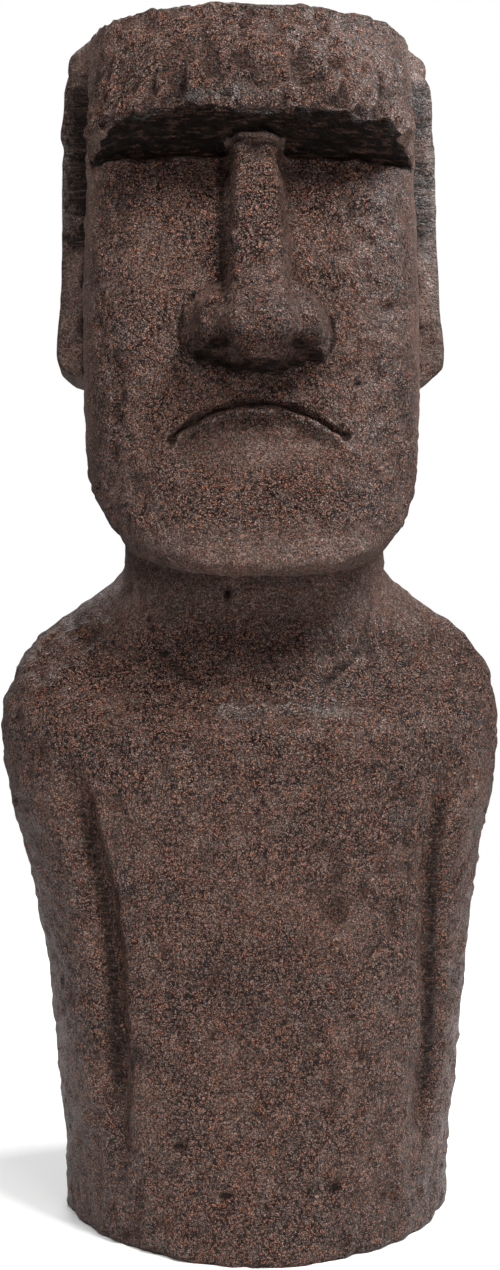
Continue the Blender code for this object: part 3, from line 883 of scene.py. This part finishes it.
def body_relief(points, reach, place, front):
    """The jaw's crumbs, the neck's streaks, the chest's crest and crack, and the foot's lumps."""
    z = points[..., 2]
    on_jaw = bell(place - JAW - 0.06, 0.07) * front
    jaw_crumbs = JAW_CRUMB_HEIGHT * on_jaw * noise(points, (0.008, 0.02, 0.005), 20)
    on_neck = window(SHOULDER + 0.4, JAW, 0.3, place)
    neck = NECK_STREAK_HEIGHT * on_neck * (ridges(points, (0.008, 0.008, 0.045), 10) - 0.5)
    crest = CHEST_CREST_HEIGHT * bell(z - CHEST_CREST_Z, 0.016) * smooth_step(0.04, 0.08, reach)
    crack = CHEST_CRACK_DEPTH * bell(z - CHEST_CRACK_Z - 0.0025 * noise(points, 0.009, 21), 0.0016)
    crack = crack * window(*CHEST_CRACK_ENDS, 0.012, points[..., 0]) * front
    foot = FOOT_LUMP_HEIGHT * (1.0 - smooth_step(0.0, 0.045, z)) * noise(points, 0.012, 11)
    return jaw_crumbs + neck + crest + foot - crack


def relief(points):
    """How far the surface stands out of the plain form at each point."""
    _, reach, z, place, _ = figure_coordinates(points)
    front = smooth_step(-0.03, 0.02, reach)
    up_ear = (z - ear_foot()) / EAR_HEIGHT
    beside = (reach < EAR_CENTRE_REACH + 0.4 * EAR_DEPTH) * window(0.0, 1.0, 0.05, up_ear)
    even = (1.0 - 0.8 * calm_share(points)) * (1.0 - 0.7 * beside) * even_relief(points)
    ear = EAR_STREAK_HEIGHT * beside * (ridges(points, (0.007, 0.007, 0.035), 9) - 0.5)
    on_head = brow_relief(points, reach, front)
    on_body = body_relief(points, reach, place, front)
    return even + ear + on_head + on_body - spots(points, HOLES)


def shifted(points):
    """The points with the brow's lip hanging unevenly and the crown's rim chipped."""
    points = points.copy()
    x, y, z = np.moveaxis(points, -1, 0)
    flat = points * np.array([1.0, 1.0, 0.0])
    lip = bell(z - height_of(BROW), 0.007) * smooth_step(-0.02, 0.03, -y)
    hang = noise(flat, 0.0085, 13) + 0.8 * noise(flat, 0.021, 14)
    points[..., 2] += LIP_DROP * lip * hang
    rim = smooth_step(height_of(CROWN) - 0.012, height_of(CROWN), z)
    chip = np.clip(noise(flat, 0.016, 15) + 0.5 * noise(flat, 0.007, 16) - 0.1, 0.0, 1.0)
    radial = np.hypot(x, y) / np.hypot(x, y).max(axis=1, keepdims=True)
    points[..., 2] -= RIM_CHIP_DEPTH * rim * chip * smooth_step(0.80, 0.97, radial)
    return points


def figure_coordinates(points):
    """Distance from the middle plane, reach, height and place of each point, and which half it is on."""
    z = points[..., 2]
    place = place_at(z)
    across = points[..., 0] + profile(LEANS, place)
    return np.abs(across), -points[..., 1], z, place, across > 0


def arm_line_share(x, reach, place, on_left):
    """1 along the line between arm and body, and 0 beside it."""
    line_x = np.where(on_left, profile(LEFT_ARM_LINE, place), profile(RIGHT_ARM_LINE, place))
    along = window(FOOT + 0.25, SHOULDER - 0.12, 0.20, place) * smooth_step(-FACE_FADE, FACE_FADE, reach)
    return bell(x - line_x, 0.55 * ARM_GROOVE_WIDTH) * along


def brow_painted_shade(points, x, reach, z):
    """Painted shade in the recess under the brow, which ends above the nose."""
    recess_foot = np.where(x > 0.55 * BRIDGE_WIDTH, height_of(EYE) - 0.0005, NOSE_TOP_Z + 0.0015)
    ragged_top = height_of(BROW) + 0.001 + 0.0030 * noise(points, 0.0075, 23)
    recess_top = ragged_top - 0.013 * smooth_step(0.086, 0.108, x)
    return window(recess_foot, recess_top, 0.003, z) * smooth_step(0.018, 0.030, reach)


def nose_painted_shade(x, z, on_left):
    """Painted shade under the nose, in its nostrils, round and on its wings and along its ridge."""
    up_nose = (z - height_of(NOSE_FOOT)) / NOSE_HEIGHT
    wing_x = wing_half_width(up_nose)
    rise = 0.0105 * smooth_step(0.08 * NOSTRILS_WIDTH, 0.40 * NOSTRILS_WIDTH, x)
    from_foot = z - height_of(NOSE_FOOT) + 0.0035 - rise
    under_nose = bell(from_foot, 0.0030) * window(-1.0, 0.45 * NOSTRILS_WIDTH, 0.010, x)
    round_wing = bell(x - wing_x, 0.0024) * window(0.02, 0.28, 0.12, up_nose)
    on_wing = window(-1.0, 1.0, 0.3, x / wing_x) * window(-0.02, 0.30, 0.12, up_nose)
    ridge_side = bell(x - 0.62 * BRIDGE_WIDTH, 0.0045) * window(0.26, 1.0, 0.14, up_nose)
    shares = (
        0.70 * under_nose,
        0.75 * nostril_share(x, z),
        0.55 * round_wing,
        0.28 * on_wing,
        # The ridge's side away from the lamps gets more painted shade than the lit side.
        np.where(on_left, 0.22, 0.46) * ridge_side,
    )
    return np.max(shares, axis=0)


def painted_shade_share(points):
    """How dark the surface is painted for shade: most under the brow and in the creases, and as the chin's
    shadow on the neck.
    """
    x, reach, z, place, on_left = figure_coordinates(points)
    front = smooth_step(0.02, 0.05, reach)
    within = 1.0 - smooth_step(0.47 * MOUTH_WIDTH, 0.53 * MOUTH_WIDTH, x)
    below_mouth = mouth_line(x) - z
    crease = bell(below_mouth, 0.36 * CREASE_WIDTH) * within
    chin = window(1.1 * LIP_HEIGHT, 0.045, 0.010, below_mouth) * bell(x, 0.6 * MOUTH_WIDTH)
    # The neck and the collar are darkened as the chin's painted shadow.
    above_collar = z - curve_through(COLLAR_LINE, x)
    neck = smooth_step(-0.004, 0.010, above_collar) * (place < JAW + 0.02) * smooth_step(-0.06, 0.02, reach)
    collar = bell(above_collar - 0.004, 0.0045) * smooth_step(0.02, 0.05, x)
    # Painted shade over the belly and on the ear slabs.
    belly = window(0.07, 0.23, 0.10, z) * bell(x, 0.085)
    slab = ear_share(reach, z) * smooth_step(0.43 * EAR_SPAN, 0.46 * EAR_SPAN, x)
    ear = ear_crease(reach, z) * window(0.43 * JAW_WIDTH, 0.505 * JAW_WIDTH, 0.02 * JAW_WIDTH, x)
    shares = (
        0.95 * brow_painted_shade(points, x, reach, z),
        front * nose_painted_shade(x, z, on_left),
        0.66 * front * crease,
        0.20 * front * chin,
        0.60 * front * collar,
        0.25 * front * belly,
        0.28 * neck,
        0.50 * arm_line_share(x, reach, place, on_left),
        0.80 * ear,
        0.38 * slab,
        0.60 * notch_share(points),
        0.60 * pits(points, PIT_CELL, PIT_SEED),
        0.75 * sum(spot(points, *oval) for *oval, _ in HOLES),
    )
    return np.max(shares, axis=0)


def calm_share(points):
    """How much finer and smoother the crumb is: most beside the ears, under the brow and on the chin."""
    x, reach, z, place, _ = figure_coordinates(points)
    head_side = smooth_step(MOUTH - 0.5, MOUTH, place) * (1.0 - smooth_step(0.02, 0.06, reach))
    head_side = head_side * smooth_step(0.38 * JAW_WIDTH, 0.47 * JAW_WIDTH, x)
    under_brow = window(height_of(EYE), height_of(BROW), 0.004, z) * smooth_step(0.03, 0.05, reach)
    chin = bell(x, 0.6 * MOUTH_WIDTH) * window(JAW + 0.5, MOUTH - 0.1, 0.4, place)
    chin = chin * smooth_step(0.0, 0.05, reach)
    neck = window(SHOULDER + 0.5, JAW, 0.3, place)
    body = 1.0 - smooth_step(SHOULDER - 0.15, SHOULDER, place)
    return np.max((0.60 * head_side, 0.7 * under_brow, 0.55 * chin, 0.5 * neck, 0.12 * body), axis=0)


def pale_share(points):
    """How pale the crests are: worn in the patches, and painted highlight on the lower lip, the ears' fronts
    and some patches.
    """
    x, reach, z, _, _ = figure_coordinates(points)
    # Painted highlight on the lower lip
    lip = window(0.5 * LIP_HEIGHT, 1.25 * LIP_HEIGHT, 0.003, mouth_line(x) - z)
    lip = lip * (x < 0.49 * MOUTH_WIDTH) * (reach > 0.03)
    # Painted highlight along the ears' fronts
    ear_front = bell(reach - EAR_CENTRE_REACH - 0.022, 0.010)
    ear_front = ear_front * smooth_step(0.445 * EAR_SPAN, 0.475 * EAR_SPAN, x)
    up_ear = (z - ear_foot()) / EAR_HEIGHT
    bands = window(0.42, 0.74, 0.10, up_ear) + window(0.86, 0.95, 0.05, up_ear)
    return np.clip(spots(points, PALE_PATCHES) + 0.8 * lip + 1.4 * ear_front * bands, 0.0, 1.6)


def surface_points():
    """The points of the finished surface, as rows by columns, and how far each stands out in relief."""
    moved = shifted(fitted(with_crown(loft_points())))
    height = relief(moved)
    points = np.clip(moved + grid_normals(moved) * height[..., None], CAD_LOW, CAD_HIGH)
    points[0, :, 2] = CAD_LOW[2]
    return points, height


def closed(rings):
    """The vertices and faces of a stack of rings, closed at the foot and the crown."""
    middle, peak = rings[0].mean(axis=0), rings[-1].mean(axis=0)
    vertices = np.concatenate([rings.reshape(-1, 3), [middle], [peak]])
    index = np.arange(rings.shape[0] * rings.shape[1]).reshape(rings.shape[:2])
    beside = np.roll(index, -1, axis=1)
    quads = np.stack([index[:-1], beside[:-1], beside[1:], index[1:]], axis=-1).reshape(-1, 4)
    below, above = len(vertices) - 2, len(vertices) - 1
    foot = [(b, a, below) for a, b in zip(index[0].tolist(), beside[0].tolist())]
    crown = [(a, b, above) for a, b in zip(index[-1].tolist(), beside[-1].tolist())]
    return vertices, quads.tolist() + foot + crown


def build_figure():
    points, height = surface_points()
    foot = points[0]
    middle = foot.mean(axis=0)
    foot_rings = np.array([middle + (foot - middle) * share for share in FOOT_RINGS[::-1]])
    vertices, faces = closed(np.concatenate([foot_rings, points]))
    data = bpy.data.meshes.new("moai_figure")
    data.from_pydata(vertices.tolist(), [], faces)
    data.update()
    stand_out = np.zeros(len(vertices))
    start = len(foot_rings) * len(foot)
    stand_out[start:start + height.size] = height.ravel()
    # Of these attributes, the second darkens the colour as painted shade, and the first lightens worn places
    # and painted highlight.
    shares = {
        "pale": pale_share(vertices),
        "painted_shade": painted_shade_share(vertices),
        "calm": calm_share(vertices),
        "relief": stand_out / RELIEF_UNIT,
    }
    for name, value in shares.items():
        attribute = data.attributes.new(name, "FLOAT", "POINT")
        attribute.data.foreach_set("value", value.astype(np.float32))
    data.shade_smooth()
    figure = bpy.data.objects.new("moai_figure", data)
    bpy.context.scene.collection.objects.link(figure)
    return figure


class Shader:
    """A material's node tree, with short calls that add its nodes."""

    def __init__(self, name):
        self.material = bpy.data.materials.new(name)
        self.material.use_nodes = True
        self.nodes = self.material.node_tree.nodes
        self.links = self.material.node_tree.links
        self.surface = self.nodes["Principled BSDF"]

    def node(self, kind, inputs=None, **settings):
        made = self.nodes.new(kind)
        for name, value in settings.items():
            setattr(made, name, value)
        for name, value in (inputs or {}).items():
            self.feed(made.inputs[name], value)
        return made

    def feed(self, socket, value):
        if isinstance(value, bpy.types.NodeSocket):
            self.links.new(value, socket)
        else:
            socket.default_value = value

    def attribute(self, name):
        return self.node("ShaderNodeAttribute", attribute_name=name).outputs["Fac"]

    def noise(self, where, size, detail=2.0, roughness=0.5):
        made = self.node(
            "ShaderNodeTexNoise",
            {"Vector": where, "Scale": 1.0 / size, "Detail": detail, "Roughness": roughness},
        )
        return made.outputs["Fac"]

    def span(self, value, low, high, out_low=0.0, out_high=1.0):
        """The value spread from low..high to out_low..out_high, and held at the ends."""
        made = self.node(
            "ShaderNodeMapRange",
            {"Value": value, "From Min": low, "From Max": high, "To Min": out_low, "To Max": out_high},
            interpolation_type="SMOOTHSTEP",
        )
        return made.outputs["Result"]

    def contour(self, source, half_width):
        """1 along a noise's middle contour, which winds like a worm, and 0 beside it."""
        away = self.maths("ABSOLUTE", self.maths("SUBTRACT", source, 0.5))
        return self.span(away, 0.4 * half_width, half_width, 1.0, 0.0)

    def moved(self, place, push, distance):
        """The place moved by distance times push."""
        made = self.node(
            "ShaderNodeVectorMath",
            {"Vector": push, "Vector_001": (distance,) * 3, "Vector_002": place},
            operation="MULTIPLY_ADD",
        )
        return made.outputs["Vector"]

    def stretched(self, place, scale):
        made = self.node("ShaderNodeVectorMath", {"Vector": place, "Vector_001": scale}, operation="MULTIPLY")
        return made.outputs["Vector"]

    def maths(self, operation, a, b=0.0, c=0.0):
        made = self.node("ShaderNodeMath", operation=operation)
        for socket, value in zip(made.inputs, (a, b, c)):
            self.feed(socket, value)
        return made.outputs["Value"]

    def times(self, a, b):
        return self.maths("MULTIPLY", a, b)

    def total(self, *terms):
        """The sum of (value, share) pairs."""
        made = 0.0
        for value, share in terms:
            made = self.maths("MULTIPLY_ADD", value, share, made)
        return made

    def mixed(self, share, a, b):
        made = self.node("ShaderNodeMix", data_type="RGBA")
        for socket, value in zip((made.inputs[0], made.inputs[6], made.inputs[7]), (share, a, b)):
            self.feed(socket, value)
        return made.outputs[2]


def stone_grain(stone):
    """The noises and contours that the material is made of, by name."""
    place = stone.node("ShaderNodeTexCoord").outputs["Object"]
    wander = stone.node("ShaderNodeTexNoise", {"Vector": place, "Scale": 1.0 / WANDER_SIZE, "Detail": 2.0})
    where = stone.moved(place, wander.outputs["Color"], WANDER_DISTANCE)
    upright = stone.stretched(where, (1.0, 1.0, 0.2))
    level = stone.stretched(where, (0.09, 0.09, 1.0))
    gap = stone.contour(stone.noise(stone.moved(where, place, 0.37), GAP_SIZE, 1.0, 0.5), 0.068)
    thin_gap = stone.contour(stone.noise(stone.moved(where, place, 0.71), CREST_SIZE, 1.0, 0.5), 0.115)
    grain = SimpleNamespace(
        blotch=stone.noise(place, BLOTCH_SIZE, 3.0, 0.6),
        patch=stone.noise(place, PATCH_SIZE, 4.0, 0.62),
        fine=stone.noise(place, FINE_SIZE, 1.0, 0.5),
        clump=stone.noise(where, CLUMP_SIZE, 3.0, 0.6),
        grit=stone.noise(where, GRIT_SIZE, 2.0, 0.6),
        crest=stone.contour(stone.noise(where, CREST_SIZE, 1.0, 0.5), 0.120),
        flow=stone.noise(upright, FLOW_SIZE, 3.0, 0.6),
        streak=stone.noise(upright, STREAK_SIZE, 2.0, 0.6),
        strand=stone.noise(level, STRAND_SIZE, 2.0, 0.65),
        calm=stone.attribute("calm"),
    )
    rough = stone.span(stone.total((grain.blotch, 0.45), (grain.patch, 0.55)), 0.36, 0.56, 0.78, 1.0)
    grain.rough = stone.times(rough, stone.span(grain.calm, 0.0, 1.0, 1.0, 0.35))
    grain.gaps = stone.times(stone.maths("MAXIMUM", gap, stone.times(thin_gap, 0.9)), grain.rough)
    return grain


def crumb_colour(stone, grain):
    """The crumb: brown grit, pale brown crests that are partly painted highlight, rust, grey specks that are
    partly painted glints, and black gaps of painted shade.
    """
    base = stone.mixed(stone.span(grain.grit, 0.32, 0.68), DARK_GRIT, LIGHT_GRIT)
    base = stone.mixed(stone.span(grain.blotch, 0.42, 0.68, 0.0, 0.35), base, GREY_BROWN)
    base = stone.mixed(stone.span(grain.flow, 0.40, 0.60, 0.34, 0.0), base, DEEP_BROWN)
    base = stone.mixed(stone.span(grain.patch, 0.34, 0.50, 0.25, 0.0), base, SHADED_BROWN)
    base = stone.mixed(stone.times(grain.crest, 0.70), base, CREST_AND_HIGHLIGHT_BROWN)
    rusty = stone.total((grain.fine, 0.78), (grain.clump, 0.22), (grain.patch, 0.24))
    rusty = stone.times(grain.crest, stone.span(rusty, 0.60, 0.70))
    base = stone.mixed(stone.times(rusty, stone.span(grain.calm, 0.0, 1.0, 1.0, 0.3)), base, RUST)
    # Grey specks, partly painted glints
    grit_and_glint = stone.span(stone.total((grain.fine, 0.5), (grain.grit, 0.5)), 0.58, 0.66)
    base = stone.mixed(stone.times(grit_and_glint, 0.36), base, GREY_GRIT_AND_GLINT)
    base = stone.mixed(stone.span(grain.patch, 0.54, 0.70, 0.0, 0.16), base, WORN_BROWN)
    return stone.mixed(grain.gaps, base, GAP_SHADE_BLACK)


def worn_and_highlight_share(stone, grain):
    """1 on the crests that are worn pale and on those painted as highlight: ragged chips inside the pale
    places.
    """
    pale = stone.attribute("pale")
    chips = stone.total((grain.streak, 0.30), (grain.clump, 0.35), (grain.patch, 0.35))
    worn_and_lit = stone.span(stone.maths("MULTIPLY_ADD", chips, 4.0, pale), 2.84, 3.04)
    worn_and_lit = stone.times(worn_and_lit, stone.span(pale, 0.0, 0.3))
    worn_and_lit = stone.times(worn_and_lit, stone.span(grain.grit, 0.25, 0.55, 0.3, 0.9))
    return stone.times(worn_and_lit, stone.span(grain.gaps, 0.0, 0.8, 1.0, 0.1))


def darkening_share(stone, grain):
    """1 where the crumb is darkened: low in the relief, and as painted shade where the attribute of painted
    shade is high, with ragged edges.
    """
    # Darker where the relief is sunk.
    sunk = stone.span(stone.attribute("relief"), -1.4, -0.2, 0.6, 0.0)
    painted_shade = stone.attribute("painted_shade")
    # Painted shade where the attribute of painted shade is high, with ragged edges.
    ragged = stone.maths("MULTIPLY_ADD", stone.maths("SUBTRACT", grain.clump, 0.5), 0.9, painted_shade)
    painted_dark = stone.times(stone.span(ragged, 0.12, 0.60), stone.span(painted_shade, 0.0, 0.5))
    return stone.maths("MAXIMUM", sunk, painted_dark)


def cast_stone():
    """Dark brown crumb: a fine worm-like grain with black gaps of painted shade, and crests brushed rust,
    brown and grey, partly painted as highlight and glints.
    """
    stone = Shader("cast_stone_crumb")
    grain = stone_grain(stone)
    base = stone.mixed(worn_and_highlight_share(stone, grain), crumb_colour(stone, grain), CHIP_AND_HIGHLIGHT_GREY)
    # The darkening colour, streaked brown, mostly painted shade.
    darkening = stone.mixed(stone.span(grain.strand, 0.50, 0.66), DARKENING_BLACK, DARKENING_BROWN)
    stone.feed(stone.surface.inputs["Base Color"], stone.mixed(darkening_share(stone, grain), base, darkening))
    stone.feed(stone.surface.inputs["Roughness"], stone.span(grain.grit, 0.3, 0.7, 0.50, 0.26))
    stone.feed(stone.surface.inputs["Specular IOR Level"], 0.16)
    crumb = stone.total((grain.crest, 0.50), (grain.grit, 0.50), (grain.clump, 1.3))
    crumb = stone.times(crumb, grain.rough)
    height = stone.total((crumb, 1.0), (grain.gaps, -1.0), (grain.patch, 3.4), (grain.flow, 1.6))
    bump = stone.node("ShaderNodeBump", {"Height": height, "Strength": 1.0, "Distance": BUMP_HEIGHT})
    stone.feed(stone.surface.inputs["Normal"], bump.outputs["Normal"])
    return stone.material


def pale_floor():
    floor = Shader("pale_floor")
    floor.feed(floor.surface.inputs["Base Color"], FLOOR_COLOUR)
    floor.feed(floor.surface.inputs["Roughness"], 0.9)
    where = floor.node("ShaderNodeTexCoord").outputs["Object"]
    away = floor.node("ShaderNodeVectorMath", {"Vector": where}, operation="LENGTH").outputs["Value"]
    floor.feed(floor.surface.inputs["Alpha"], floor.span(away, FLOOR_FADE_START, FLOOR_FADE_END, 1.0, 0.0))
    return floor.material


def add_floor():
    data = bpy.data.meshes.new("floor")
    mesh = bmesh.new()
    bmesh.ops.create_circle(mesh, cap_ends=True, segments=96, radius=FLOOR_RADIUS)
    bmesh.ops.translate(mesh, verts=mesh.verts[:], vec=(0.0, 0.0, CAD_LOW[2]))
    mesh.to_mesh(data)
    mesh.free()
    floor = bpy.data.objects.new("floor", data)
    bpy.context.scene.collection.objects.link(floor)
    data.materials.append(pale_floor())


def add_camera():
    data = bpy.data.cameras.new("camera")
    data.sensor_width = 36.0
    data.lens = CAMERA_FOCAL_PIXELS / PHOTO_HEIGHT_PIXELS * data.sensor_width
    camera = bpy.data.objects.new("camera", data)
    bpy.context.scene.collection.objects.link(camera)
    turn = math.radians(CAMERA_TURN_DEG)
    camera.location = (
        -CAMERA_DISTANCE * math.sin(turn) - CAMERA_SIDESTEP * math.cos(turn),
        -CAMERA_DISTANCE * math.cos(turn) + CAMERA_SIDESTEP * math.sin(turn),
        CAMERA_HEIGHT,
    )
    camera.rotation_euler = (math.pi / 2, 0.0, -turn)
    bpy.context.scene.camera = camera


def add_softbox(name, round_deg, up_deg, watts):
    data = bpy.data.lights.new(name, "AREA")
    data.size = LAMP_SIZE
    data.energy = watts
    lamp = bpy.data.objects.new(name, data)
    bpy.context.scene.collection.objects.link(lamp)
    turn, rise = math.radians(round_deg), math.radians(up_deg)
    lamp.location = (
        LAMP_DISTANCE * math.sin(turn) * math.cos(rise),
        -LAMP_DISTANCE * math.cos(turn) * math.cos(rise),
        LAMP_TARGET_HEIGHT + LAMP_DISTANCE * math.sin(rise),
    )
    lamp.rotation_euler = (math.pi / 2 - rise, 0.0, turn)


def add_world():
    world = bpy.data.worlds.new("studio")
    bpy.context.scene.world = world
    world.use_nodes = True
    background = world.node_tree.nodes["Background"]
    background.inputs["Color"].default_value = WHITE
    background.inputs["Strength"].default_value = WORLD_STRENGTH
    seen = world.node_tree.nodes.new("ShaderNodeBackground")
    seen.inputs["Color"].default_value = WHITE
    path = world.node_tree.nodes.new("ShaderNodeLightPath")
    either = world.node_tree.nodes.new("ShaderNodeMixShader")
    links = world.node_tree.links
    links.new(path.outputs["Is Camera Ray"], either.inputs["Fac"])
    links.new(background.outputs["Background"], either.inputs[1])
    links.new(seen.outputs["Background"], either.inputs[2])
    links.new(either.outputs["Shader"], world.node_tree.nodes["World Output"].inputs["Surface"])
    bpy.context.scene.view_settings.view_transform = "Standard"


def main():
    figure = build_figure()
    figure.data.materials.append(cast_stone())
    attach(figure, "root")
    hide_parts("moai_statue")
    add_floor()
    add_camera()
    for softbox in SOFTBOXES:
        add_softbox(*softbox)
    add_world()


main()
